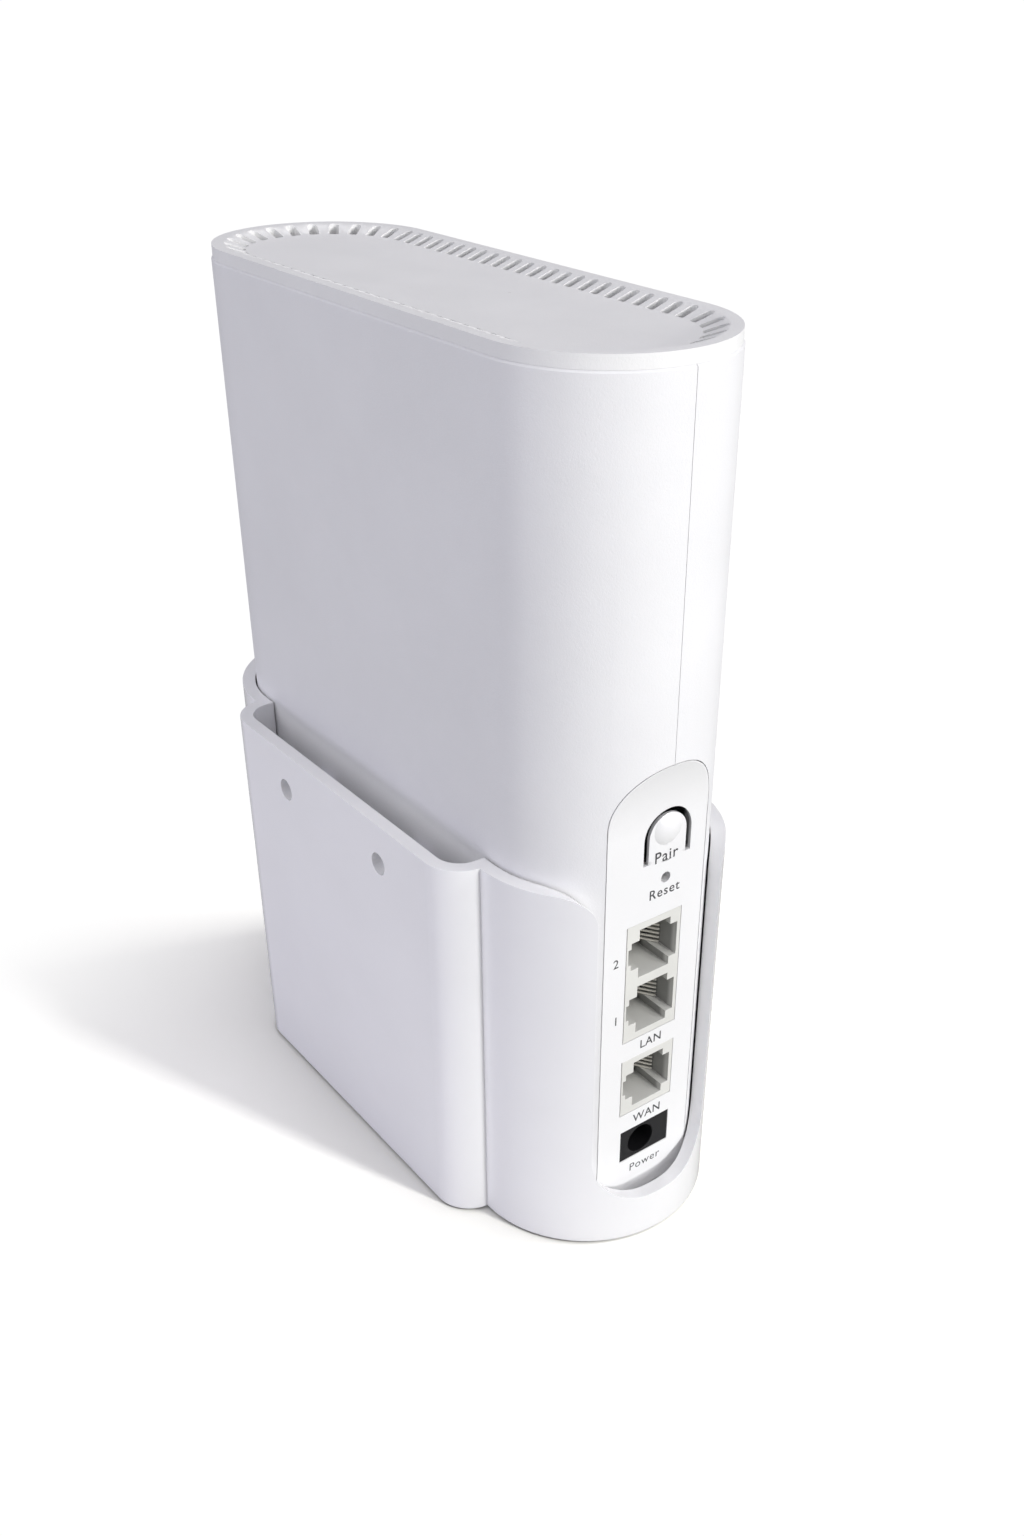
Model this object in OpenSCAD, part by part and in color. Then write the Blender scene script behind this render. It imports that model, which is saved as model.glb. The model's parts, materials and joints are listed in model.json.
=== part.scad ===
// Upright home router in a wall cradle.
// +X faces the port end, -Y faces the wall, +Z is up. Millimetres.
// Origin: centre of the bounding box, at the ground.

/* [Tower] */
// Length of the tower from end to end
tower_l = 140; // [130:1:160]
// Width of the tower, which is twice its end radius
tower_w = 48; // [48:0.5:50]
// Height of the tower's top rim above the ground
tower_top = 188.6; // [187:0.1:192]
// Wall thickness of the two shells
shell_t = 2.2; // [2:0.1:2.4]
// Height of the top cap's visible band
cap_h = 2.5; // [2.4:0.1:2.8]

/* [Top grille] */
// Width of the flat rim around the top
rim_w = 2.6; // [2.4:0.1:3.2]
// Width of the sloping band that holds the vents
band_w = 4.4; // [4.2:0.1:4.6]
// Depth of the top panel below the rim
recess_d = 1.5; // [1.2:0.1:1.6]
// Width of one vent
vent_w = 2.2; // [1.8:0.1:2.4]
// Number of vents along each straight side
vents_side = 24; // [18:1:24]
// Number of vents around each round end
vents_end = 12; // [9:1:13]

/* [Wall cradle] */
// Height of the cradle
cradle_h = 90; // [80:1:100]
// Wall thickness of the cradle
cradle_t = 3; // [2.6:0.1:3.2]
// Gap between the tower and the cradle
cradle_gap = 0.4; // [0.3:0.1:0.6]
// Distance from the tower's axis to the wall
wall_dist = 34.8; // [32:0.2:38]
// Length of the stand-off box that meets the wall
standoff_l = 92; // [88:1:96]
// Outer corner radius of the stand-off box
standoff_r = 8.5; // [7:0.5:9]
// Distance between the two wall screws
screw_pitch = 39; // [34:1:50]
// Height of the wall screws
screw_z = 80.5; // [76:0.5:82]
// Diameter of the wall screw holes
screw_d = 5; // [4:0.1:6]
// Half width of the cut-out in front of the ports
cut_hw = 15.8; // [15.2:0.1:16.4]
// Height of the bottom of the cut-out
cut_z = 10.5; // [9:0.5:12]

/* [Port panel] */
// Height of the top of the port panel
panel_top = 114.4; // [112:0.1:118]
// Depth of the flat port panel behind the round end
panel_in = 3.6; // [3.5:0.05:3.7]
// Height of the centre of the upper LAN port
lan2_z = 71.05; // [70.8:0.05:71.3]
// Distance between the two LAN ports
lan_pitch = 13.95; // [13.9:0.01:14]
// Height of the centre of the WAN port
wan_z = 37.2; // [37:0.1:37.4]
// Height of the centre of the power inlet
dc_z = 20.6; // [20.4:0.1:20.8]
// Height of the pairing button's dome
pair_z = 98.6; // [98.4:0.1:98.7]
// Height of the reset hole
reset_z = 87.1; // [86.8:0.1:87.4]

/* [Hidden] */
$fn = 64;
tiny = 0.02; // hairline gap or overlap between parts

// Tower and cradle
tower_r = tower_w / 2;
end_x = (tower_l - tower_w) / 2; // centre of each round end
inner_r = tower_r - shell_t;
cradle_r = tower_r + cradle_gap + cradle_t;
tower_y = (wall_dist - cradle_r) / 2;
cap_z = tower_top - cap_h;
floor_t = 3;
shell_z = 5.3;
seam_gap = 0.05; // from each shell's edge to the middle plane
cap_inset = 0.3;

// Base cover, its screws and the feet
cover_z = 3.6;
cover_top = shell_z - 0.1;
base_screw_x = 22;
foot_x = 40;
base_y = 15; // feet and screws, either side of the axis
foot_r = 4;
foot_top = floor_t + 1.4;

// Port panel
panel_x = tower_l / 2 - panel_in; // outer face
panel_t = 1.8;
panel_back = panel_x - panel_t;
flange_t = 1.8;
panel_hw = 12.6;
panel_bot = 5.4;
panel_fit = 0.1;
foot_cut_z = 8; // top of the shell's cut for the panel's foot
scoop_z = panel_top - 15.5;
scoop_r = 34.8;
deep_x = 50; // cuts through the panel run from here
far_x = 80; // past the tower's +X end

// Jacks
port_y = 0.36;
port_hw = 7;
port_cut_w = 14.32;
jack_front = panel_x - 0.05;
lan1_z = lan2_z - lan_pitch;
jack_heights = [lan2_z, lan1_z, wan_z];
contact_pitch = 1.02;
dc_y = -0.6;
dc_hh = 4.18;

// Pairing button, reset hole and the switches behind them
button_y = 2.6;
button_z = 91.5; // lower end
button_rise = 5.4; // from there up to the round end's centre
button_r = 6;
button_slot = 1.3;
skin_t = 0.7; // panel skin around the button
pad_x = panel_x - 1.4; // back of the button's pad
dome_z = pair_z - 0.4;
switch_x = 57.9;
switch_front = 61.4;
switch_y = 2.4;
plunger_x = 58.8;

// Circuit board; its parts stand on the -Y face
board_y = 7.6;
board_t = 1.6;
board_back = board_y + board_t;
mount_y = board_y - tiny;
clear_r = 1.6; // screw clearance holes
pilot_r = 1.3; // screw holes in bosses and posts
// X, Z of the holes
board_holes = [[-52, 22], [-52, 168], [40, 168], [8, 40]];
sink_holes = [[-28, 84], [34, 142]];

// ---------- shared shapes ----------

module at_tower() translate([0, tower_y, 0]) children();

// Four copies, at every sign of x and y
module at_corners(x, y, z = 0)
    for (i = [-1, 1], j = [-1, 1]) translate([i * x, j * y, z]) children();

// Flat outline of the tower with the given end radius
module stadium(radius) {
    square([2 * end_x, 2 * radius], center = true);
    translate([end_x, 0]) circle(radius);
    translate([-end_x, 0]) circle(radius);
}

module slab(radius, z0, z1) translate([0, 0, z0]) linear_extrude(z1 - z0) stadium(radius);

module ring(outer, inner, z0, z1) translate([0, 0, z0]) linear_extrude(z1 - z0)
    difference() {
        stadium(outer);
        stadium(inner);
    }

// A profile of radius and height, carried round the tower's outline
module sweep_round(z) {
    for (m = [0, 1]) mirror([m, 0, 0]) translate([end_x, 0, z]) rotate([0, 0, -90])
        rotate_extrude(angle = 180) children();
    for (m = [0, 1]) mirror([0, m, 0]) translate([-end_x, 0, z]) rotate([90, 0, 90])
        linear_extrude(2 * end_x) children();
}

// Outline in the Y, Z plane with its own corner radius at bottom and top
module arch(half_w, z0, z1, bot_r, top_r) {
    translate([-half_w, z0 + bot_r]) square([2 * half_w, z1 - top_r - z0 - bot_r]);
    translate([-half_w + top_r, z1 - top_r - 1]) square([2 * (half_w - top_r), top_r + 1]);
    translate([-half_w + bot_r, z0]) square([2 * (half_w - bot_r), bot_r + 1]);
    for (s = [-1, 1]) {
        translate([s * (half_w - top_r), z1 - top_r]) circle(top_r);
        translate([s * (half_w - bot_r), z0 + bot_r]) circle(bot_r);
    }
}

module panel_outline(grow)
    arch(panel_hw + grow, panel_bot - grow, panel_top + grow, 1.5 + grow, 12 + grow);

// Extrude a shape drawn in the Y, Z plane along X from x0 to x1
module along_x(x0, x1)
    translate([x0, 0, 0]) rotate([90, 0, 90]) linear_extrude(x1 - x0) children();

// Box given by its lowest and highest corners
module box(low, high) translate(low) cube(high - low);

module rod_x(x0, x1, y, z, radius)
    translate([x0, y, z]) rotate([0, 90, 0]) cylinder(h = x1 - x0, r = radius);

module rod_y(y0, y1, x, z, radius)
    translate([x, y0, z]) rotate([-90, 0, 0]) cylinder(h = y1 - y0, r = radius);

// One rod along Y at each X, Z place
module rods_y(places, y0, y1, radius)
    for (place = places) rod_y(y0, y1, place[0], place[1], radius);

// Straight round wire with slightly larger balls at its ends
module wire(start, stop, radius) {
    run = stop - start;
    length = norm(run);
    translate(start) rotate([0, acos(run[2] / length), atan2(run[1], run[0])])
        cylinder(h = length, r = radius, $fn = 48);
    for (point = [start, stop]) translate(point) sphere(radius * 1.06, $fn = 48);
}

// ---------- wall cradle ----------

module cradle_outline(inset) {
    half_l = standoff_l / 2 - inset;
    corner = standoff_r - inset;
    wall_y = -wall_dist + inset;
    stadium(cradle_r - inset);
    translate([-half_l, wall_y + corner]) square([2 * half_l, -wall_y - corner]);
    translate([-half_l + corner, wall_y]) square([2 * (half_l - corner), corner + 1]);
    for (s = [-1, 1]) translate([s * (half_l - corner), wall_y + corner]) circle(corner);
}

// Cut-out in front of the ports, flared at the cradle's top edge
module port_cutout() {
    flare_r = 6.5;
    flare_hw = cut_hw + flare_r;
    flare_z = cradle_h - flare_r;
    arch(cut_hw, cut_z, cradle_h + 5, 12.5, 1);
    difference() {
        translate([-flare_hw, flare_z]) square([2 * flare_hw, 12]);
        for (s = [-1, 1]) translate([s * flare_hw, flare_z]) circle(flare_r);
    }
}

module wall_bracket() color([0.93, 0.93, 0.95]) at_tower() difference() {
    linear_extrude(cradle_h) cradle_outline(0);
    translate([0, 0, floor_t]) linear_extrude(cradle_h) cradle_outline(cradle_t);
    // long opening in the floor
    translate([0, 0, -1]) linear_extrude(floor_t + 2) stadium(9);
    along_x(end_x + 4, tower_l) port_cutout();
    rods_y([for (s = [-1, 1]) [s * screw_pitch / 2, screw_z]],
        -wall_dist - 1, -wall_dist + cradle_t + 1, screw_d / 2);
}

// ---------- tower shells ----------

// Both shells as one wall, before they part at the middle plane
module shell_wall() {
    frame_w = 1.6; // cut-back of the frame behind the panel
    flange_front = panel_back + 0.1;
    difference() {
        union() {
            ring(tower_r, inner_r, shell_z, cap_z - 0.03);
            // frame around the port panel
            intersection() {
                along_x(60, 72) difference() {
                    panel_outline(1.5);
                    translate([-30, 0]) square([60, foot_cut_z]);
                }
                slab(tower_r - tiny, shell_z + 1, 130);
            }
        }
        along_x(58, far_x) panel_outline(panel_fit);
        along_x(deep_x, flange_front)
            arch(panel_hw + frame_w, panel_bot - 0.1, panel_top + 1.7, 2, 12.5);
        // room for the panel's foot
        box([58, -panel_hw - panel_fit, 0], [far_x, panel_hw + panel_fit, foot_cut_z]);
        box([deep_x, -panel_hw - frame_w, 0], [flange_front, panel_hw + frame_w, foot_cut_z]);
        // small chamfer under the cap
        sweep_round(cap_z) polygon([
            [tower_r - 0.36, 0.1], [tower_r + 1, 0.1], [tower_r + 1, -0.42],
            [tower_r, -0.42], [tower_r - 0.36, -0.06]
        ]);
    }
}

// Two screw bosses, each with a rib to the wall; side is the sign of y
module base_bosses(side) for (s = [-1, 1]) {
    x = s * base_screw_x;
    y = side * base_y;
    rib_y = side * (inner_r + 0.5);
    difference() {
        union() {
            translate([x, y, shell_z]) cylinder(h = 12, r = 3.2);
            box([x - 0.8, min(y, rib_y), shell_z], [x + 0.8, max(y, rib_y), shell_z + 10]);
        }
        translate([x, y, shell_z - 1]) cylinder(h = 11, r = pilot_r);
    }
}

module left_shell() color([0.96, 0.96, 0.97]) at_tower() {
    intersection() {
        shell_wall();
        box([-90, -40, 0], [90, -seam_gap, 200]);
    }
    base_bosses(-1);
}

// Lip that laps behind the left shell at both ends
module seam_lip() {
    lip_in = inner_r - 1.1;
    lip_z = shell_z + 2;
    lip_top = cap_z - 6;
    reach_y = 2.5;
    intersection() {
        union() {
            ring(inner_r - 0.1, lip_in, lip_z, lip_top);
            // root, sunk into the right shell's wall
            intersection() {
                ring(inner_r + 0.5, lip_in, lip_z, lip_top);
                box([-90, 0.3, 0], [90, reach_y, 200]);
            }
        }
        union() {
            box([-90, -2, 0], [-60, reach_y, 200]);
            box([60, -2, 118.5], [90, reach_y, 200]);
        }
    }
}

module right_shell() color([0.96, 0.96, 0.97]) at_tower() difference() {
    union() {
        intersection() {
            shell_wall();
            box([-90, seam_gap, 0], [90, 40, 200]);
        }
        base_bosses(1);
        seam_lip();
        // board posts
        rods_y(board_holes, board_back + tiny, inner_r + 0.6, 3);
    }
    rods_y(board_holes, board_y, inner_r - 3, pilot_r);
}

// One upright slot with a round outer end, cut through the band
module vent(band_in) translate([0, 0, cap_z - 0.4]) linear_extrude(height = 4) {
    corner = 0.5;
    slot_in = band_in + 0.3;
    slot_out = band_in + band_w - 0.25 - vent_w / 2;
    translate([slot_out, 0]) circle(vent_w / 2);
    translate([slot_in, -vent_w / 2]) square([slot_out - slot_in, vent_w]);
    translate([band_in - 0.2, corner - vent_w / 2]) square([0.6, vent_w - 2 * corner]);
    for (s = [-1, 1]) translate([slot_in, s * (vent_w / 2 - corner)]) circle(corner);
}

module top_cap() color([0.94, 0.94, 0.95]) at_tower() {
    rim_in = tower_r - rim_w;
    band_in = rim_in - band_w;
    difference() {
        union() {
            slab(tower_r - cap_inset, cap_z, tower_top);
            ring(inner_r - 0.15, rim_in - 0.15, cap_z - 3.5, cap_z + 0.5);
        }
        // sloping band down to the flat top panel
        sweep_round(tower_top) polygon([
            [0, 1], [rim_in, 1], [rim_in, 0], [band_in, -recess_d], [0, -recess_d]
        ]);
        for (turn = [0, 180]) rotate([0, 0, turn]) {
            for (i = [0:vents_side - 1])
                translate([(2 * i / (vents_side - 1) - 1) * end_x, 0, 0])
                    rotate([0, 0, 90]) vent(band_in);
            for (i = [1:vents_end])
                translate([end_x, 0, 0])
                    rotate([0, 0, 180 * i / (vents_end + 1) - 90]) vent(band_in);
        }
    }
    // snap tabs
    for (s = [-1, 1], x = [-30, 0, 30])
        translate([x, s * (inner_r - 0.9), cap_z - 5]) cube([5, 1.3, 6], center = true);
}

// ---------- base ----------

module base_cover() color([0.9, 0.9, 0.92]) at_tower() difference() {
    union() {
        slab(tower_r - 0.3, cover_z, cover_top);
        ring(inner_r - 0.2, inner_r - 1.4, cover_z, shell_z + 2);
    }
    // room for the port panel's foot and the seam lip
    box([55, -16, cover_top], [far_x, 16, 20]);
    box([-80, -3, cover_top], [-55, 3, 20]);
    // foot recesses
    at_corners(foot_x, base_y, floor_t) cylinder(h = foot_top - floor_t, r = foot_r + 0.1);
    // counterbored screw holes
    at_corners(base_screw_x, base_y, floor_t) {
        cylinder(h = 5, r = clear_r);
        cylinder(h = 1.3, r = 2.9);
    }
    // gaps in the rim for the bosses' ribs
    at_corners(base_screw_x, 22.6, shell_z + 2) cube([8, 4.4, 4.1], center = true);
    // intake slots
    for (i = [-9:9]) translate([i * 4, 0, 4]) cube([2, 14, 6], center = true);
}

module rubber_feet() color([0.3, 0.3, 0.32]) at_tower()
    at_corners(foot_x, base_y, floor_t + tiny)
        cylinder(h = foot_top - floor_t - 2 * tiny, r = foot_r);

module base_screws() color([0.7, 0.7, 0.72]) at_tower() {
    head_z = cover_z + 0.05;
    at_corners(base_screw_x, base_y) difference() {
        union() {
            translate([0, 0, head_z]) cylinder(h = 0.62, r = 2.7);
            translate([0, 0, 4.2]) cylinder(h = 8, r = 1.25);
        }
        // cross recess
        for (turn = [0, 90]) rotate([0, 0, turn])
            translate([0, 0, head_z]) cube([3, 0.6, 0.8], center = true);
    }
}

module rating_label() color([0.85, 0.85, 0.85]) at_tower()
    box([-15, 8.6, cover_z - 0.15], [15, 19.5, cover_z - 0.01]);

// ---------- port panel ----------

// Button outline: straight sides and a round top
module button_outline(inset) {
    half_w = button_r - inset;
    translate([button_y, button_z + button_rise]) circle(half_w);
    translate([button_y - half_w, button_z]) square([2 * half_w, button_rise]);
}

// Opening for a jack body from z0 to z1
module port_opening(z0, z1)
    translate([port_y - port_hw - 0.25, z0]) square([port_cut_w, z1 - z0]);

module io_panel() color([0.97, 0.97, 0.97]) at_tower() difference() {
    union() {
        along_x(panel_back, panel_x) panel_outline(-panel_fit);
        // above the button the face sweeps out to meet the shell
        intersection() {
            along_x(panel_back, far_x) difference() {
                panel_outline(-panel_fit);
                translate([-30, 0]) square([60, scoop_z + 1.2]);
            }
            slab(tower_r - 0.03, 100, 120);
            difference() {
                box([panel_back, -20, 100], [72, 20, 120]);
                translate([panel_x + scoop_r, 0, scoop_z]) rotate([90, 0, 0])
                    cylinder(h = 50, r = scoop_r, center = true, $fn = 256);
            }
        }
        // flange behind the face
        along_x(panel_back - flange_t, panel_back + tiny)
            arch(panel_hw + 1.3, panel_bot, panel_top + 1.3, 2, 12.5);
    }
    along_x(deep_x, far_x) {
        port_opening(lan1_z - 7.55, lan2_z + 7.55);
        port_opening(wan_z - 7.5, wan_z + 7.5);
        translate([-6.32, dc_z - 4.25]) square([13.5, 8.5]);
        button_outline(0);
    }
    // the slot around the button widens behind the face
    along_x(deep_x, panel_x - skin_t) button_outline(-1);
    // pocket behind the button and the reset hole
    along_x(deep_x, panel_back) translate([button_y - 7.4, 80.5]) square([14.8, 25]);
    rod_x(deep_x, far_x, button_y, reset_z, 1.2);
}

// One layer of the button, trimmed just above its lower end
module button_layer(x0, x1, inset) along_x(x0, x1) intersection() {
    button_outline(inset);
    translate([-10, button_z + 0.1]) square([30, 20]);
}

module pairing_button() color([0.97, 0.97, 0.97]) at_tower() {
    button_layer(panel_x - skin_t, panel_x - tiny, button_slot);
    // stiffening pad behind it
    button_layer(pad_x, panel_x - skin_t + tiny, button_slot + 1.3);
    // low round dome
    translate([panel_x - 0.1, button_y, dome_z]) rotate([0, 90, 0]) rotate_extrude()
        intersection() {
            translate([0, -4.94]) circle(6.12, $fn = 128);
            square([3.5, 2]);
        }
}

// ---------- jacks ----------

// Stepped opening of a modular jack in the Y, Z plane
module jack_mouth(z) translate([0, z]) {
    translate([-3.4, -5.85]) square([8.02, 11.7]);
    translate([-5.4, -3.3]) square([2.02, 6.6]);
    translate([-6.15, -1.9]) square([0.77, 3.8]);
}

// Block with a jack cavity at each height; margin is measured from the end cavities
module jack_block(heights, margin) difference() {
    box([45, port_y - port_hw, min(heights) - margin],
        [jack_front, port_y + port_hw, max(heights) + margin]);
    along_x(52.4, far_x) for (z = heights) jack_mouth(z);
    for (z = heights) {
        // step on the contact side
        box([57, 4, z - 4], [far_x, 6.5, z + 4]);
        // channel for the leads on the board side
        box([47, 6.85, z - 4], [62.2, 8, z + 4]);
    }
}

module lan_jack() color([0.8, 0.8, 0.78]) at_tower() jack_block([lan1_z, lan2_z], 7.45);
module wan_jack() color([0.8, 0.8, 0.78]) at_tower() jack_block([wan_z], 7.4);

// Height of contact i in the jack centred at z
function contact_z(z, i) = z + (i - 3.5) * contact_pitch;

// Eight sprung wires of one jack
module contact_set(z) for (i = [0:7])
    wire([61.3, 6.05, contact_z(z, i)], [54.4, 1.3, contact_z(z, i)], 0.24);

module lan2_contacts() color([0.85, 0.72, 0.4]) at_tower() contact_set(lan2_z);
module lan1_contacts() color([0.85, 0.72, 0.4]) at_tower() contact_set(lan1_z);
module wan_contacts() color([0.85, 0.72, 0.4]) at_tower() contact_set(wan_z);

// Leads run back along the jack, then through the board in two rows
module jack_leads() color([0.85, 0.72, 0.4]) at_tower() {
    lead_y = 7.12;
    lead_r = 0.22;
    for (jack_z = jack_heights, i = [0:7]) {
        x = i % 2 == 0 ? 49 : 51.5;
        z = contact_z(jack_z, i);
        wire([61.7, lead_y, z], [x, lead_y, z], lead_r);
        wire([x, lead_y, z], [x, board_back + 0.5, z], lead_r);
    }
}

module dc_jack() color([0.08, 0.08, 0.08]) at_tower() difference() {
    box([53, -6.25, dc_z - dc_hh], [jack_front, 7.1, dc_z + dc_hh]);
    rod_x(56.4, far_x, dc_y, dc_z, 3.45);
    // slot for the sprung contact
    box([55.6, -5.6, dc_z - 1.2], [63.4, dc_y, dc_z + 1.2]);
}

module dc_jack_pin() color([0.8, 0.8, 0.8]) at_tower() {
    pin_r = 1.05;
    tip_x = 61.4;
    rod_x(50.5, tip_x, dc_y, dc_z, pin_r);
    translate([tip_x, dc_y, dc_z]) sphere(pin_r);
}

// Sloping strip with a rounded front edge
module dc_jack_spring() color([0.8, 0.8, 0.8]) at_tower() {
    strip_t = 0.3;
    strip_h = 1.8;
    translate([62.9, -5.1, dc_z]) rotate([0, 0, 180 - 14])
        translate([0, -strip_t / 2, -strip_h / 2]) {
            cube([6.2, strip_t, strip_h]);
            translate([0, strip_t / 2, 0]) cylinder(h = strip_h, r = 0.3);
        }
}

// ---------- circuit board and its parts ----------

// Block on the board from its low X, Z corner, standing out to the given depth
module board_part(x, z, length, height, depth)
    box([x, board_y - depth, z], [x + length, mount_y, z + height]);

module main_board() color([0.05, 0.35, 0.18]) at_tower() difference() {
    box([-58, board_y, 14], [61, board_back, 176]);
    rods_y(concat(board_holes, sink_holes), 0, 20, clear_r);
    // notch in the +X edge
    box([58, 0, 80], [70, 20, 104]);
}

module board_screws() color([0.75, 0.75, 0.77]) at_tower() {
    rods_y(board_holes, board_y - 1.9, mount_y, 2.8);
    rods_y(board_holes, board_y - 1, board_y + 9, 1.25);
}

module processor() color([0.15, 0.15, 0.16]) at_tower() board_part(-9, 89, 24, 24, 1.7);

module thermal_pad() color([0.5, 0.6, 0.7]) at_tower()
    box([-8, board_y - 2.5, 90], [14, board_y - 1.72, 112]);

sink_x = -32;
sink_z = 80;
sink_h = 66;
sink_y = 2.4; // face of the plate that carries the fins

module heat_sink() color([0.6, 0.6, 0.62]) at_tower() difference() {
    union() {
        box([sink_x, sink_y, sink_z], [38, board_y - 2.52, sink_z + sink_h]);
        for (i = [0:9]) translate([sink_x + i * 7.6, -11, sink_z]) cube([1.6, 14, sink_h]);
    }
    rods_y(sink_holes, -20, 20, clear_r);
    // recesses for the screw heads
    rods_y(sink_holes, -20, sink_y + 1, 3.4);
}

module heat_sink_screws() color([0.75, 0.75, 0.77]) at_tower() {
    // head, shank, nut behind the board, spacer in front of it
    rods_y(sink_holes, 1.5, sink_y + 0.98, 2.8);
    rods_y(sink_holes, 3, board_back + 3, 1.5);
    rods_y(sink_holes, board_back + 0.05, board_back + 2, 2.6);
    rods_y(sink_holes, board_y - 2.48, mount_y, 2.4);
}

module memory_chips() color([0.15, 0.15, 0.16]) at_tower()
    for (z = [88, 104]) board_part(20, z, 11, 12, 1.2);

// Thin cans, open towards the board
module rf_shields() color([0.75, 0.76, 0.78]) at_tower() {
    can_t = 0.3;
    for (z = [58, 104]) difference() {
        board_part(-56, z, 21, 38, 3);
        box([-56 + can_t, board_y - 3 + can_t, z + can_t],
            [-35 - can_t, board_y + 1, z + 38 - can_t]);
    }
}

module lan_transformers() color([0.12, 0.12, 0.13]) at_tower()
    for (z = jack_heights) board_part(28, z - 6.2, 14, 12.4, 5.5);

module power_capacitors() color([0.1, 0.12, 0.2]) at_tower()
    rods_y([for (x = [22, 33, 44]) [x, 21]], board_y - 12, mount_y, 4);

module power_inductor() color([0.25, 0.25, 0.27]) at_tower() board_part(4, 16, 11, 11, 5);

// Switch body with a foot to the board and a bore for its plunger
module push_switch(z, half_w, half_h, foot_hh, bore_z, bore_r) difference() {
    union() {
        box([switch_x, switch_y - half_w, z - half_h],
            [switch_front, switch_y + half_w, z + half_h]);
        box([54, 3.4, z - foot_hh], [switch_x + 0.05, mount_y, z + foot_hh]);
    }
    rod_x(58.4, 70, button_y, bore_z, bore_r);
}

module pairing_switch() color([0.2, 0.2, 0.21]) at_tower()
    push_switch(98.3, 3, 3.5, 3, dome_z, 1.55);

module pairing_plunger() color([0.9, 0.9, 0.88]) at_tower()
    rod_x(plunger_x, pad_x - 0.36, button_y, dome_z, 1.5);

module reset_switch() color([0.2, 0.2, 0.21]) at_tower()
    push_switch(reset_z, 2.6, 2.6, 2.4, reset_z, 0.85);

module reset_plunger() color([0.5, 0.3, 0.2]) at_tower()
    rod_x(plunger_x, 63, button_y, reset_z, 0.8);

// ---------- antennas ----------

coax_z = 150;
coax_x = [-44, -34, -24, -14];
// X, Y, Z points of each cable after its connector
cable_paths = [
    [[-44, 4, 156], [-57, 1, 160], [-60, -1, 158]],
    [[-34, 2, 160], [-32, -10, 168], [-30, -19.3, 160]],
    [[-24, 3, 164], [0, -4, 171], [20, -12, 170], [26, -19.3, 160]],
    [[-14, 3, 158], [20, 3, 162], [50, 1, 160], [57, -1, 156]]
];

module coax_connectors() color([0.85, 0.72, 0.4]) at_tower()
    rods_y([for (x = coax_x) [x, coax_z]], board_y - 1.4, mount_y, 1.4);

module antenna_cables() color([0.15, 0.15, 0.15]) at_tower() for (i = [0:3]) {
    points = concat([[coax_x[i], 5.5, coax_z]], cable_paths[i]);
    for (j = [0:len(points) - 2]) wire(points[j], points[j + 1], 0.6);
}

module antenna_boards() color([0.05, 0.3, 0.3]) at_tower() {
    antenna_t = 0.85;
    // two along the -Y side, one at each end
    for (x = [-46, 14]) translate([x, -20.9, 126]) cube([30, antenna_t, 40]);
    for (x = [-61.5, 57.65]) translate([x, -9, 128]) cube([antenna_t, 16, 34]);
}

wall_bracket();
left_shell();
right_shell();
top_cap();
base_cover();
rubber_feet();
base_screws();
io_panel();
pairing_button();
lan_jack();
wan_jack();
dc_jack();
lan2_contacts();
lan1_contacts();
wan_contacts();
jack_leads();
dc_jack_pin();
dc_jack_spring();
main_board();
board_screws();
processor();
thermal_pad();
heat_sink();
heat_sink_screws();
memory_chips();
rf_shields();
lan_transformers();
power_capacitors();
power_inductor();
pairing_switch();
pairing_plunger();
reset_switch();
reset_plunger();
coax_connectors();
antenna_cables();
antenna_boards();
rating_label();
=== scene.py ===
"""A white modem tower standing in a wall cradle, on a sheet of white paper.

Metres, +Z up. The tower stands along z; its plan is long in x with rounded ends, centred on x
= 0 and y = AXIS_Y. The port panel faces +x.
"""
import json
import math
import bpy
from mathutils import Matrix, Vector
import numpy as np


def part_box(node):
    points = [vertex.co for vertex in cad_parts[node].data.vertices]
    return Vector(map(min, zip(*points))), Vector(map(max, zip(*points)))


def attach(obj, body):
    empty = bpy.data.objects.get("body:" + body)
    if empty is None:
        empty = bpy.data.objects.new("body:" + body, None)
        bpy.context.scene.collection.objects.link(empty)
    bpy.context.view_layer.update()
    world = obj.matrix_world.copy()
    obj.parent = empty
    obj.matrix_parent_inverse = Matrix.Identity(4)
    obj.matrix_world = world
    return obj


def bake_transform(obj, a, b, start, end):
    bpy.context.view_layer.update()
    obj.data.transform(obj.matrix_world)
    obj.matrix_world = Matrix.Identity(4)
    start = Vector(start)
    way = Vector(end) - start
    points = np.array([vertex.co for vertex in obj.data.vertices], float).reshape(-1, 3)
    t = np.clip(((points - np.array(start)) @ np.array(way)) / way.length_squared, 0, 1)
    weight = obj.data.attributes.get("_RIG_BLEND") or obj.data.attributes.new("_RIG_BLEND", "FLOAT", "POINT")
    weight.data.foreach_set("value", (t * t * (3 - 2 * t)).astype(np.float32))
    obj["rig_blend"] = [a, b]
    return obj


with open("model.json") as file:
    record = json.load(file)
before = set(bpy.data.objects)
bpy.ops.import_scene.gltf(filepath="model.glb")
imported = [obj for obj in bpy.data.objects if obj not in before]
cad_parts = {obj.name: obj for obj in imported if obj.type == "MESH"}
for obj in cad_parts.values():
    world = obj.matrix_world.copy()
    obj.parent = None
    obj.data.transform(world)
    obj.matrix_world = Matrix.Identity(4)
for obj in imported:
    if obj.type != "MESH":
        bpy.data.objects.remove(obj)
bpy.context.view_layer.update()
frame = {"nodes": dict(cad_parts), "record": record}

nodes = frame["nodes"]
scene = bpy.context.scene
MM = 0.001

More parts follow.
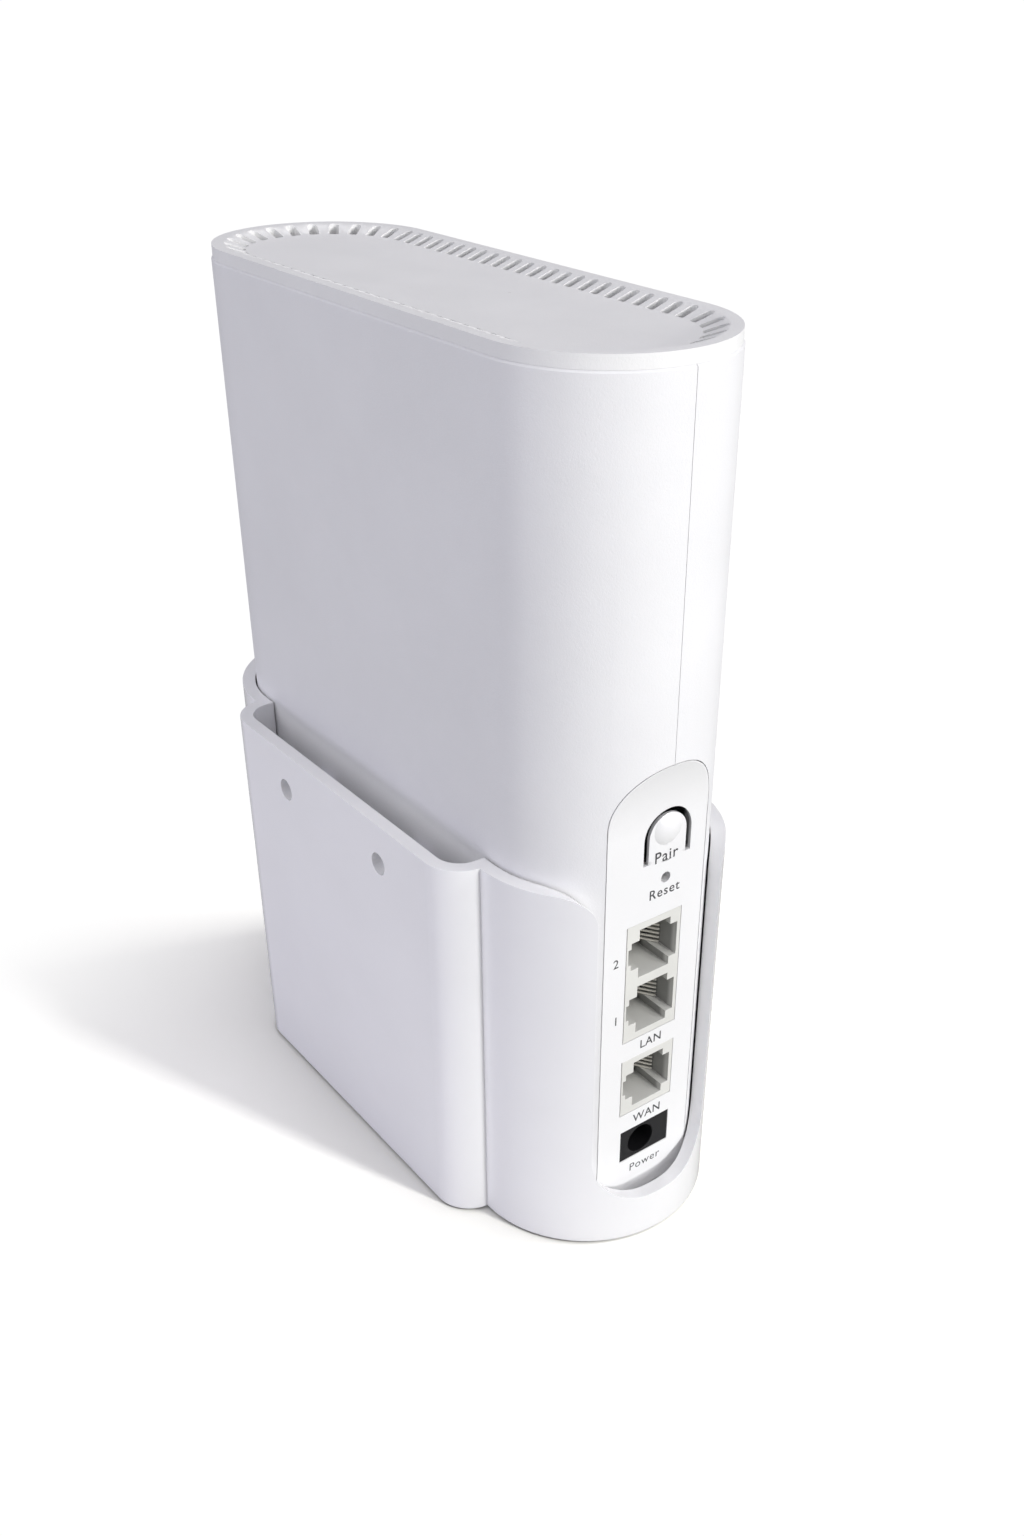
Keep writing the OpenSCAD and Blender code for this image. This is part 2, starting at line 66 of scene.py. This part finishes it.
# ------------------------------------------------------------------ places
STRAIGHT_HALF = 0.046       # half length of the straight sides, along x
bracket_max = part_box("wall_bracket")[1]
bracket_radius = bracket_max.x - STRAIGHT_HALF
AXIS_Y = bracket_max.y - bracket_radius
PANEL_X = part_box("lan_jack")[1].x + 0.05 * MM       # outer face of the port panel


# ------------------------------------------------------------------ node helpers
class Nodes:
    """An emptied node tree, with short calls that add nodes and return their outputs."""

    def __init__(self, owner):
        owner.use_nodes = True
        self.tree = owner.node_tree
        self.tree.nodes.clear()

    def link(self, output, socket):
        self.tree.links.new(output, socket)

    def feed(self, socket, value):
        """Link an output to the socket or set its value; a colour gets its alpha here."""
        if isinstance(value, bpy.types.NodeSocket):
            self.link(value, socket)
        elif isinstance(value, tuple) and len(socket.default_value) == 4:
            socket.default_value = (*value, 1.0)
        else:
            socket.default_value = value

    def add(self, kind, inputs=None, **props):
        node = self.tree.nodes.new(kind)
        for key, value in props.items():
            setattr(node, key, value)
        for key, value in (inputs or {}).items():
            self.feed(node.inputs[key], value)
        return node

    def ramp(self, value, span, to=(0.0, 1.0), smooth=False):
        """Map the span onto the to range."""
        inputs = {"Value": value, "From Min": span[0], "From Max": span[1],
                  "To Min": to[0], "To Max": to[1]}
        kind = "SMOOTHSTEP" if smooth else "LINEAR"
        return self.add("ShaderNodeMapRange", inputs, interpolation_type=kind).outputs[0]

    def calc(self, operation, first, second):
        inputs = {0: first, 1: second}
        return self.add("ShaderNodeMath", inputs, operation=operation).outputs[0]

    def times(self, first, second):
        return self.calc("MULTIPLY", first, second)

    def mix(self, factor, first, second):
        inputs = {0: factor, 6: first, 7: second}       # 6 and 7 are the colour sockets
        return self.add("ShaderNodeMix", inputs, data_type="RGBA").outputs[2]

    def split(self, vector):
        return self.add("ShaderNodeSeparateXYZ", {0: vector}).outputs


class Surface(Nodes):
    """The node tree of a new material, with a Principled shader in object coordinates."""

    def __init__(self, name):
        self.material = bpy.data.materials.new(name)
        super().__init__(self.material)
        self.output = self.add("ShaderNodeOutputMaterial")
        self.shader = self.add("ShaderNodeBsdfPrincipled")
        self.link(self.shader.outputs[0], self.output.inputs[0])
        self.coords = self.add("ShaderNodeTexCoord").outputs["Object"]

    def scaled(self, scale):
        inputs = {"Scale": scale, "Vector": self.coords}
        return self.add("ShaderNodeMapping", inputs).outputs[0]

    def noise(self, scale, detail=3.0, rough=0.5, vector=None, distortion=0.0):
        inputs = {"Scale": scale, "Detail": detail, "Roughness": rough,
                  "Distortion": distortion, "Vector": vector or self.coords}
        return self.add("ShaderNodeTexNoise", inputs).outputs["Fac"]

    def voronoi(self, scale, feature="F1", vector=None):
        inputs = {"Scale": scale, "Vector": vector or self.coords}
        return self.add("ShaderNodeTexVoronoi", inputs, feature=feature).outputs["Distance"]

    def bump(self, height, strength, distance, normal=None):
        inputs = {"Strength": strength, "Distance": distance, "Height": height}
        if normal is not None:
            inputs["Normal"] = normal
        return self.add("ShaderNodeBump", inputs).outputs[0]

    def occlusion(self, samples, distance):
        inputs = {"Distance": distance}
        return self.add("ShaderNodeAmbientOcclusion", inputs, samples=samples).outputs["AO"]

    def put(self, **values):
        """Feed the Principled shader; underscores stand for spaces in socket names."""
        for key, value in values.items():
            self.feed(self.shader.inputs[key.replace("_", " ")], value)


# ------------------------------------------------------------------ plastic
# colour that corners and creases darken towards
CORNER_TONE = tuple(c * 0.86 for c in (0.80, 0.79, 0.78))
SPECK = (0.42, 0.40, 0.38)
STAIN = (0.60, 0.53, 0.42)
# colour of the painted shade deep in the sockets
SOCKET_SHADE = (0.02, 0.02, 0.019)
SHADE_BACK_X = (0.0560, 0.0612)     # painted shade on the back wall fades out over this x span
SHADE_WALL_X = (0.0645, 0.0655)     # and on the wall behind the contacts over this one


def add_specks(surface, colour, amount):
    """Small dots, kept only where a broad noise is high."""
    cells = surface.voronoi(scale=95)
    dots = surface.ramp(cells, span=(0.02, 0.035), to=(1.0, 0.0))
    keep = surface.ramp(surface.noise(scale=60, detail=1), span=(0.60, 0.66))
    return surface.mix(surface.times(surface.times(dots, keep), amount), colour, SPECK)


def add_stains(surface, colour, amount):
    """Streaks along x, inside scattered patches."""
    broad = surface.noise(scale=46, detail=5, rough=0.65, distortion=1.5)
    patches = surface.ramp(broad, span=(0.60, 0.72), smooth=True)
    stretched = surface.scaled((0.25, 1.0, 1.0))
    narrow = surface.noise(scale=130, detail=4, rough=0.6, vector=stretched, distortion=0.8)
    streaks = surface.ramp(narrow, span=(0.62, 0.70), smooth=True)
    return surface.mix(surface.times(surface.times(patches, streaks), amount), colour, STAIN)


def add_corner_darkening(surface, colour):
    """Darker colour in corners and creases, where an occlusion mask finds them."""
    open_air = surface.occlusion(samples=4, distance=0.0015)
    corners = surface.ramp(open_air, span=(0.15, 0.9), to=(1.0, 0.0), smooth=True)
    return surface.mix(surface.times(corners, 0.35), colour, CORNER_TONE)


def add_socket_shade(surface, colour):
    """Painted shade deep in a socket, away from its mouth along x, and on the wall facing -y."""
    x = surface.split(surface.coords)[0]
    normal = surface.split(surface.add("ShaderNodeNewGeometry").outputs["Normal"])
    depth = surface.ramp(x, span=SHADE_BACK_X, to=(1.0, 0.0), smooth=True)
    less_on_floors = surface.ramp(normal[2], span=(0.3, 0.7), to=(1.0, 0.25))
    back = surface.times(depth, less_on_floors)
    inside = surface.ramp(x, span=SHADE_WALL_X, to=(1.0, 0.0))
    facing = surface.ramp(normal[1], span=(-0.9, -0.5), to=(0.5, 0.0))
    wall = surface.times(inside, facing)
    return surface.mix(surface.calc("MAXIMUM", back, wall), colour, SOCKET_SHADE)


def plastic(name, colour, rough, grain, grain_size, coat=0.0, translucency=0.0, specks=0.0,
            mottle=0.03, wave=0.0, darkened_corners=True, ior=1.46, painted_socket_shade=False, stains=0.0):
    """Moulded plastic with a mould grain, faint mottling and uneven roughness."""
    surface = Surface(name)
    broad = surface.noise(scale=38, detail=4, rough=0.55)
    fine = surface.noise(scale=520, detail=3, rough=0.6)
    dark = tuple(c * (1 - mottle) for c in colour)
    light = tuple(min(1.0, c * (1 + mottle * 0.5)) for c in colour)
    colour = surface.mix(surface.ramp(broad, span=(0.35, 0.65)), dark, light)
    if specks:
        colour = add_specks(surface, colour, specks)
    if stains:
        colour = add_stains(surface, colour, stains)
    # darker colour in corners and creases, from an occlusion mask
    if darkened_corners:
        colour = add_corner_darkening(surface, colour)
    # painted shade: the sockets darken deep inside and on their walls facing -y
    if painted_socket_shade:
        colour = add_socket_shade(surface, colour)
    unevenness = surface.times(surface.calc("ADD", broad, fine), 0.05)
    roughness = surface.calc("ADD", rough - 0.05, unevenness)

    cells = surface.voronoi(scale=1.0 / (grain_size * MM), feature="SMOOTH_F1")
    grit = surface.noise(scale=2.2 / (grain_size * MM), detail=2, rough=0.6)
    height = surface.calc("ADD", surface.times(cells, 0.6), grit)
    normal = surface.bump(height, strength=grain, distance=0.06 * MM)
    if wave:
        swell = surface.noise(scale=22, detail=2, rough=0.4)
        normal = surface.bump(swell, strength=wave, distance=1.2 * MM, normal=normal)
    surface.put(Base_Color=colour, Roughness=roughness, IOR=ior, Coat_Weight=coat,
                Coat_Roughness=0.06, Normal=normal)
    if translucency:
        surface.put(Subsurface_Weight=translucency, Subsurface_Scale=1.2 * MM,
                    Subsurface_Radius=(1.0, 0.95, 0.9))
    return surface.material


# ------------------------------------------------------------------ metal, boards, ink
def metal(name, colour, rough, brushed=None, metallic=1.0):
    """Metal with a little tarnish; brushed is the noise scale along x, y and z."""
    surface = Surface(name)
    if brushed:
        grain = surface.noise(scale=60, detail=4, rough=0.6, vector=surface.scaled(brushed))
    else:
        grain = surface.noise(scale=900, detail=4, rough=0.6)
    tarnish = surface.ramp(surface.noise(scale=240), span=(0.4, 0.7))
    tarnished = tuple(c * (1 - 0.1) for c in colour)
    surface.put(
        Base_Color=surface.mix(tarnish, colour, tarnished),
        Metallic=metallic,
        Roughness=surface.ramp(grain, span=(0.3, 0.7), to=(rough * 0.7, rough * 1.3)),
        Normal=surface.bump(grain, strength=0.15, distance=0.02 * MM))
    return surface.material


def laminate(name, mask, copper):
    """Solder mask over etched tracks and pads, stretched along y."""
    surface = Surface(name)
    stretched = surface.scaled((1.0, 0.02, 1.0))
    brick = surface.add("ShaderNodeTexBrick",
                        {"Vector": stretched, "Scale": 210, "Mortar Size": 0.012})
    cells = surface.voronoi(scale=420, feature="DISTANCE_TO_EDGE", vector=stretched)
    cell_edges = surface.ramp(cells, span=(0.03, 0.06), to=(1.0, 0.0))
    bricks = surface.calc("SUBTRACT", 1.0, brick.outputs["Fac"])
    tracks = surface.calc("MAXIMUM", cell_edges, bricks)
    surface.put(Base_Color=surface.mix(surface.times(tracks, 0.5), mask, copper),
                Roughness=0.32, Coat_Weight=0.3,
                Normal=surface.bump(tracks, strength=0.3, distance=0.05 * MM))
    return surface.material


def legend_ink():
    surface = Surface("legend_ink")
    grain = surface.noise(scale=1500)
    wear = surface.ramp(grain, span=(0.35, 0.7))
    surface.put(Base_Color=surface.mix(wear, (0.035, 0.035, 0.038), (0.085, 0.085, 0.09)),
                Roughness=0.6, Normal=surface.bump(grain, strength=0.2, distance=0.02 * MM))
    return surface.material


# colour, roughness, grain strength, grain size in mm, other arguments of plastic()
MATT = dict(darkened_corners=False)
PLASTICS = {
    "cradle_plastic": ((0.88, 0.88, 0.885), 0.22, 0.035, 0.9, dict(
        coat=0.5, translucency=0.10, specks=0.35, mottle=0.015, wave=0.03)),
    "shell_plastic": ((0.86, 0.86, 0.865), 0.50, 0.55, 0.42, dict(
        translucency=0.08, specks=0.35, mottle=0.02)),
    "cap_plastic": ((0.88, 0.88, 0.87), 0.55, 0.6, 0.45, dict(
        translucency=0.05, specks=0.45, stains=0.5)),
    "base_plastic": ((0.74, 0.74, 0.75), 0.5, 0.5, 0.45, {}),
    "panel_plastic": ((0.86, 0.86, 0.86), 0.42, 0.25, 0.35, dict(
        translucency=0.05, mottle=0.015)),
    "button_plastic": ((0.86, 0.86, 0.86), 0.30, 0.1, 0.35, dict(
        coat=0.2, translucency=0.08, mottle=0.015)),
    # the sockets get painted shade deep inside and on their walls facing -y
    "jack_plastic": ((0.74, 0.74, 0.70), 0.40, 0.3, 0.3, dict(
        specks=0.9, mottle=0.06, painted_socket_shade=True)),
    "dc_plastic": ((0.010, 0.010, 0.011), 0.42, 0.25, 0.3, dict(darkened_corners=False, ior=1.32)),
    "foot_rubber": ((0.10, 0.10, 0.105), 0.8, 0.8, 0.3, MATT),
    "pad_rubber": ((0.20, 0.28, 0.42), 0.7, 0.6, 0.3, MATT),
    "chip_epoxy": ((0.02, 0.02, 0.022), 0.55, 0.6, 0.2, MATT),
    "transformer_plastic": ((0.02, 0.02, 0.022), 0.45, 0.4, 0.25, MATT),
    "capacitor_sleeve": ((0.02, 0.04, 0.12), 0.3, 0.1, 0.4, dict(darkened_corners=False, coat=0.3)),
    "inductor_ferrite": ((0.06, 0.06, 0.065), 0.7, 0.7, 0.25, MATT),
    "switch_plastic": ((0.03, 0.03, 0.033), 0.4, 0.3, 0.25, MATT),
    "plunger_plastic": ((0.70, 0.70, 0.66), 0.4, 0.3, 0.25, {}),
    "reset_plastic": ((0.20, 0.10, 0.05), 0.4, 0.3, 0.25, {}),
    "cable_jacket": ((0.02, 0.02, 0.02), 0.45, 0.3, 0.25, MATT),
    "label_film": ((0.62, 0.62, 0.63), 0.35, 0.1, 0.3, {}),
}
METALS = {
    "screw_steel": dict(colour=(0.62, 0.62, 0.64), rough=0.32),
    "contact_gold": dict(colour=(0.95, 0.92, 0.84), rough=0.42, metallic=0.55),
    "nickel": dict(colour=(0.30, 0.29, 0.27), rough=0.45),
    "sink_aluminium": dict(colour=(0.60, 0.61, 0.63), rough=0.38, brushed=(60, 60, 1.2)),
    "shield_steel": dict(colour=(0.62, 0.63, 0.64), rough=0.34, brushed=(4, 60, 60)),
}
LAMINATES = {
    "board_laminate": dict(mask=(0.010, 0.085, 0.032), copper=(0.06, 0.22, 0.08)),
    "antenna_laminate": dict(mask=(0.008, 0.07, 0.08), copper=(0.35, 0.24, 0.10)),
}
materials = {}
for name, (colour, rough, grain, grain_size, other) in PLASTICS.items():
    materials[name] = plastic(name, colour, rough, grain, grain_size, **other)
for name, look in METALS.items():
    materials[name] = metal(name, **look)
for name, look in LAMINATES.items():
    materials[name] = laminate(name, **look)

# ------------------------------------------------------------------ CAD pieces
# edge rounding in mm, and its segments
EDGES = {
    "wall_bracket": (0.75, 4), "left_shell": (0.07, 2), "right_shell": (0.07, 2),
    "top_cap": (0.18, 3), "io_panel": (0.10, 2), "pairing_button": (0.16, 3),
    "lan_jack": (0.10, 2), "wan_jack": (0.10, 2), "dc_jack": (0.12, 2),
    "base_cover": (0.2, 2), "heat_sink": (0.15, 2), "rubber_feet": (0.25, 3),
    "processor": (0.1, 2), "memory_chips": (0.1, 2), "rf_shields": (0.12, 2),
    "lan_transformers": (0.25, 3), "power_inductor": (0.8, 3),
    "power_capacitors": (0.3, 3), "main_board": (0.05, 1),
}
OTHER_EDGE = (0.05, 1)


def soften(piece, width, segments):
    """Merge and flatten the CAD mesh, round its edges and shade it smooth."""
    attributes = piece.data.attributes
    # with these gone, every face and edge is smooth
    for key in ("custom_normal", "sharp_edge", "sharp_face"):
        if key in attributes:
            attributes.remove(attributes[key])
    weld = piece.modifiers.new("weld", "WELD")
    weld.merge_threshold = 2e-6
    flat = piece.modifiers.new("flat", "DECIMATE")
    flat.decimate_type = "DISSOLVE"
    flat.angle_limit = math.radians(0.4)
    bevel = piece.modifiers.new("edges", "BEVEL")
    bevel.limit_method = "ANGLE"
    bevel.angle_limit = math.radians(33)
    bevel.width = width * MM
    bevel.segments = segments
    bevel.profile = 0.5
    bevel.use_clamp_overlap = True
    bevel.harden_normals = True
    normals = piece.modifiers.new("normals", "WEIGHTED_NORMAL")
    normals.keep_sharp = True
    normals.weight = 80


slots = {part["node"]: part["material_slot"] for part in frame["record"]["subparts"]}
for name, piece in nodes.items():
    piece.data.materials.clear()
    piece.data.materials.append(materials[slots[name]])
    soften(piece, *EDGES.get(name, OTHER_EDGE))

# ------------------------------------------------------------------ printed legends
INK = legend_ink()
# local x, y and z of the text turn to world y, z and x: it reads along +y and faces +x
TEXT_TO_PANEL = Matrix(((0, 0, 1, 0), (1, 0, 0, 0), (0, 1, 0, 0), (0, 0, 0, 1)))
# name, text, y of the middle from the tower axis, z of the middle, size, spacing,
# stroke thickening; lengths in mm
LEGENDS = [
    ("legend_reset", "Reset", 2.4, 84.0, 3.15, 1.13, 0.022),
    ("legend_two", "2", -9.4, 71.0, 3.0, 1.06, 0.01),
    ("legend_one", "1", -8.9, 56.5, 3.0, 1.06, 0.01),
    ("legend_lan", "LAN", 0.9, 47.2, 3.0, 1.06, 0.022),
    ("legend_wan", "WAN", 0.9, 27.2, 3.05, 1.06, 0.022),
    ("legend_power", "Power", 0.9, 13.2, 3.0, 1.13, 0.0),
]
PAIR_LEGEND = ("legend_pair_text", "Pair", 2.4, 92.2, 3.5, 1.12, 0.025)
PAIR_LIFT = 0.006 * MM      # extra height of the Pair legend, over the root skin


def lettering(name, text, y, z, size, spacing, thicken):
    curve = bpy.data.curves.new(name, "FONT")
    curve.body = text
    curve.align_x = "CENTER"
    curve.align_y = "CENTER"
    curve.size = size * MM
    curve.space_character = spacing
    curve.offset = thicken * MM
    curve.extrude = 0.006 * MM
    curve.resolution_u = 6
    curve.materials.append(INK)
    letters = bpy.data.objects.new(name, curve)
    scene.collection.objects.link(letters)
    place = (PANEL_X + 0.004 * MM, AXIS_Y + y * MM, z * MM)
    letters.matrix_world = Matrix.Translation(place) @ TEXT_TO_PANEL
    bpy.context.view_layer.update()
    return letters


for row in LEGENDS:
    letters = lettering(*row)
    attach(letters, "modem")

# ------------------------------------------------------------------ root of the pairing button
# The button's tongue bends at its root: a thin skin, and the legend on it, bend with it.
BEND_LOW = (PANEL_X, AXIS_Y, 91.15 * MM)
BEND_HIGH = (PANEL_X, AXIS_Y, 92.15 * MM)
SKIN_BOTTOM, SKIN_HEIGHT = 91.1, 1.1    # in z, mm
SKIN_SIDE_GAP = 0.12 * MM               # from each side of the button
SKIN_BACK_X = PANEL_X - 0.05 * MM
SKIN_FRONT_X = PANEL_X + 0.008 * MM
SKIN_EDGE_DROP = 0.02 * MM              # how far the front sinks at its rim
SKIN_RIM_CELLS = 2.0                    # width of the sloping rim, in cells
SKIN_ROWS, SKIN_COLUMNS = 12, 10


def blend_with_button(thing):
    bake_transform(thing, "modem", "pair_button", BEND_LOW, BEND_HIGH)


def root_skin():
    """A thin closed slab: a back grid, a front grid whose rim sinks, and four sides."""
    rows, columns = SKIN_ROWS, SKIN_COLUMNS
    button_low, button_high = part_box("pairing_button")
    y_low = button_low.y + SKIN_SIDE_GAP
    y_high = button_high.y - SKIN_SIDE_GAP
    verts = []
    for x, drop in ((SKIN_BACK_X, 0.0), (SKIN_FRONT_X, SKIN_EDGE_DROP)):
        for r in range(rows + 1):
            z = (SKIN_BOTTOM + SKIN_HEIGHT * r / rows) * MM
            for c in range(columns + 1):
                inward = min(r, rows - r, c, columns - c) / SKIN_RIM_CELLS
                y = y_low + (y_high - y_low) * c / columns
                verts.append((x - drop * max(0.0, 1 - inward), y, z))

    def at(layer, r, c):
        return (layer * (rows + 1) + r) * (columns + 1) + c

    faces = []
    for r in range(rows):
        for c in range(columns):
            faces.append((at(1, r, c), at(1, r, c + 1), at(1, r + 1, c + 1), at(1, r + 1, c)))
            faces.append((at(0, r, c), at(0, r + 1, c), at(0, r + 1, c + 1), at(0, r, c + 1)))
    for r in range(rows):
        for c, flip in ((0, False), (columns, True)):
            face = (at(0, r, c), at(1, r, c), at(1, r + 1, c), at(0, r + 1, c))
            faces.append(face[::-1] if flip else face)
    for c in range(columns):
        for r, flip in ((0, True), (rows, False)):
            face = (at(0, r, c), at(1, r, c), at(1, r, c + 1), at(0, r, c + 1))
            faces.append(face[::-1] if flip else face)

    mesh = bpy.data.meshes.new("button_root_skin")
    mesh.from_pydata(verts, [], faces)
    mesh.polygons.foreach_set("use_smooth", [True] * len(mesh.polygons))
    mesh.materials.append(materials["panel_plastic"])
    skin = bpy.data.objects.new("button_root_skin", mesh)
    scene.collection.objects.link(skin)
    blend_with_button(skin)


def pair_legend():
    """The Pair legend as a mesh, so that it can bend."""
    text = lettering(*PAIR_LEGEND)
    depsgraph = bpy.context.evaluated_depsgraph_get()
    mesh = bpy.data.meshes.new_from_object(text, depsgraph=depsgraph)
    mesh.transform(text.matrix_world)
    curve = text.data
    bpy.data.objects.remove(text)
    bpy.data.curves.remove(curve)
    for vertex in mesh.vertices:
        vertex.co.x += PAIR_LIFT
    legend = bpy.data.objects.new("legend_pair", mesh)
    scene.collection.objects.link(legend)
    blend_with_button(legend)


root_skin()
pair_legend()

# ------------------------------------------------------------------ stage
FLOOR_HALF = 6
FLOOR_Z = -0.0006
PAPER_TINT = (1.0, 0.997, 0.945)
WHITE_OUT = (0.065, 0.16)   # distance from the origin over which paper turns pure white


def floor_paper():
    """Paper, brighter to the camera than to the object, with painted contact shadow near the object, that
    runs out to pure white.
    """
    surface = Surface("floor_paper")
    camera_ray = surface.add("ShaderNodeLightPath").outputs["Is Camera Ray"]
    fibres = surface.noise(scale=700, detail=4, rough=0.6)
    bright = surface.ramp(camera_ray, span=(0, 1), to=(0.52, 1.38))
    # painted contact shadow: the paper darkens where the occlusion mask finds the object close
    open_air = surface.occlusion(samples=8, distance=0.04)
    painted_contact_shadow = surface.ramp(open_air, span=(0.35, 1.0), to=(0.70, 1.0), smooth=True)
    fibre_shade = surface.ramp(fibres, span=(0.3, 0.7), to=(0.99, 1.0))
    shade = surface.times(surface.times(bright, painted_contact_shadow), fibre_shade)
    channels = {i: surface.times(shade, tint) for i, tint in enumerate(PAPER_TINT)}
    paper = surface.add("ShaderNodeCombineColor", channels).outputs[0]
    surface.put(Base_Color=paper, Roughness=0.9, Specular_IOR_Level=0.0)

    position = surface.add("ShaderNodeNewGeometry").outputs["Position"]
    distance = surface.add("ShaderNodeVectorMath", {0: position}, operation="LENGTH")
    glow_strength = surface.ramp(camera_ray, span=(0, 1), to=(0.34, 1.02))
    glow = surface.add("ShaderNodeEmission",
                       {"Color": (1.0, 1.0, 1.0), "Strength": glow_strength})
    away = surface.ramp(distance.outputs["Value"], span=WHITE_OUT, smooth=True)
    blend = surface.add("ShaderNodeMixShader",
                        {0: away, 1: surface.shader.outputs[0], 2: glow.outputs[0]})
    surface.link(blend.outputs[0], surface.output.inputs[0])
    return surface.material


def make_floor():
    corners = [(x * FLOOR_HALF, y * FLOOR_HALF, FLOOR_Z)
               for x, y in ((-1, -1), (1, -1), (1, 1), (-1, 1))]
    mesh = bpy.data.meshes.new("floor")
    mesh.from_pydata(corners, [], [(0, 1, 2, 3)])
    sheet = bpy.data.objects.new("floor", mesh)
    scene.collection.objects.link(sheet)
    mesh.materials.append(floor_paper())
    return sheet


def studio_world():
    """Soft light from overhead, less from the horizon, and white to the camera."""
    world = bpy.data.worlds.new("studio")
    scene.world = world
    sky = Nodes(world)
    camera_ray = sky.add("ShaderNodeLightPath").outputs["Is Camera Ray"]
    height = sky.split(sky.add("ShaderNodeTexCoord").outputs["Generated"])[2]
    rise = sky.ramp(height, span=(0.1, 0.75), smooth=True)
    dome = sky.mix(rise, (0.12, 0.13, 0.17), (0.63, 0.62, 0.66))
    colour = sky.mix(camera_ray, dome, (1.02, 1.02, 1.02))
    background = sky.add("ShaderNodeBackground", {"Color": colour})
    sky.add("ShaderNodeOutputWorld", {0: background.outputs[0]})


floor = make_floor()
studio_world()

# ------------------------------------------------------------------ lights
KEY = (1.0, 0.997, 0.985)
FLOOR_KEY = (1.0, 0.995, 0.985)


def area(name, azimuth, elevation, distance, size, power, colour, aim_z=0.09):
    """An area light aimed at the tower axis; azimuth runs from +x towards +y, in degrees."""
    light = bpy.data.lights.new(name, "AREA")
    light.shape = "RECTANGLE"
    light.size, light.size_y = size
    light.energy = power
    light.color = colour
    lamp = bpy.data.objects.new(name, light)
    scene.collection.objects.link(lamp)
    turn, lift = math.radians(azimuth), math.radians(elevation)
    towards = Vector((math.cos(lift) * math.cos(turn),
                      math.cos(lift) * math.sin(turn),
                      math.sin(lift))).normalized()
    lamp.location = Vector((0, AXIS_Y, aim_z)) + towards * distance
    lamp.rotation_euler = (-towards).to_track_quat("-Z", "Y").to_euler()
    lamp.visible_camera = False
    return lamp


def light_only(collection_name, receivers, lamps):
    """Let the lamps reach only the receivers."""
    collection = bpy.data.collections.new(collection_name)
    for receiver in receivers:
        collection.objects.link(receiver)
    for lamp in lamps:
        lamp.light_linking.receiver_collection = collection


key_lights = [
    area("key_low", azimuth=9, elevation=12, distance=1.2, size=(0.16, 0.16),
         power=6.7, colour=KEY),
    area("key_mid", azimuth=9, elevation=25, distance=1.2, size=(0.26, 0.26),
         power=1.5, colour=KEY),
    area("key_right", azimuth=32, elevation=25, distance=1.2, size=(0.26, 0.26),
         power=3.2, colour=(1.0, 0.99, 1.0)),
]
fill = area("fill", azimuth=-98, elevation=4, distance=0.55, size=(0.35, 0.12),
            power=0.42, colour=(0.80, 0.77, 1.0), aim_z=0.03)
low_fill = area("low_fill", azimuth=-98, elevation=3, distance=0.30, size=(0.40, 0.05),
                power=0.36, colour=(0.84, 0.81, 1.0), aim_z=0)
side = area("side", azimuth=-95, elevation=30, distance=1.0, size=(0.5, 0.5),
            power=1.9, colour=(0.96, 0.955, 1.0))
floor_lights = [
    area("floor_key", azimuth=20.5, elevation=36, distance=2.0, size=(0.17, 0.17),
         power=22.0, colour=FLOOR_KEY),
    area("floor_back", azimuth=62, elevation=36, distance=1.6, size=(0.55, 0.45),
         power=13.0, colour=FLOOR_KEY),
]

product = [thing for thing in bpy.data.objects
           if thing.type in {"MESH", "FONT"} and thing.name != "floor"]
tower = [thing for thing in product if thing.name != "wall_bracket"]
SOCKETS = {"lan_jack", "wan_jack", "dc_jack"}
outside = [thing for thing in product if thing.name not in SOCKETS]
# the floor has its own lights, which set how the shadow falls
light_only("on_floor", [floor], floor_lights)
light_only("on_object", product, key_lights)
# from the -y side, a soft light reaches only the tower and a low strip only the cradle
light_only("on_tower", tower, [fill])
light_only("on_cradle", [nodes["wall_bracket"]], [low_fill])
# the side light does not reach into the sockets
light_only("on_shells", outside, [side])

scene.cycles.diffuse_bounces = 8
scene.cycles.max_bounces = 16

# ------------------------------------------------------------------ camera
CAMERA_PLACE = (0.247247, -0.164565 + AXIS_Y, 0.243697)
YAW = math.radians(142.155)         # from +x towards +y
PITCH = math.radians(-32.258)       # below the horizon
ROLL = math.radians(-0.636)


def camera_turn():
    forward = Vector((math.cos(PITCH) * math.cos(YAW),
                      math.cos(PITCH) * math.sin(YAW),
                      math.sin(PITCH)))
    right = forward.cross(Vector((0, 0, 1))).normalized()
    down = forward.cross(right)
    rolled_right = math.cos(ROLL) * right + math.sin(ROLL) * down
    rolled_down = -math.sin(ROLL) * right + math.cos(ROLL) * down
    return Matrix((rolled_right, -rolled_down, -forward)).transposed().to_4x4()


camera = bpy.data.cameras.new("camera")
camera_object = bpy.data.objects.new("camera", camera)
scene.collection.objects.link(camera_object)
scene.camera = camera_object
camera_object.matrix_world = Matrix.Translation(CAMERA_PLACE) @ camera_turn()
camera.sensor_width = 36
camera.lens = 34.7953125
camera.shift_x = -0.030270182
camera.shift_y = 0.065348307
camera.clip_start = 0.01
camera.clip_end = 20

scene.view_settings.view_transform = "Standard"
scene.view_settings.look = "None"
scene.view_settings.exposure = 0.0
scene.view_settings.gamma = 1.0
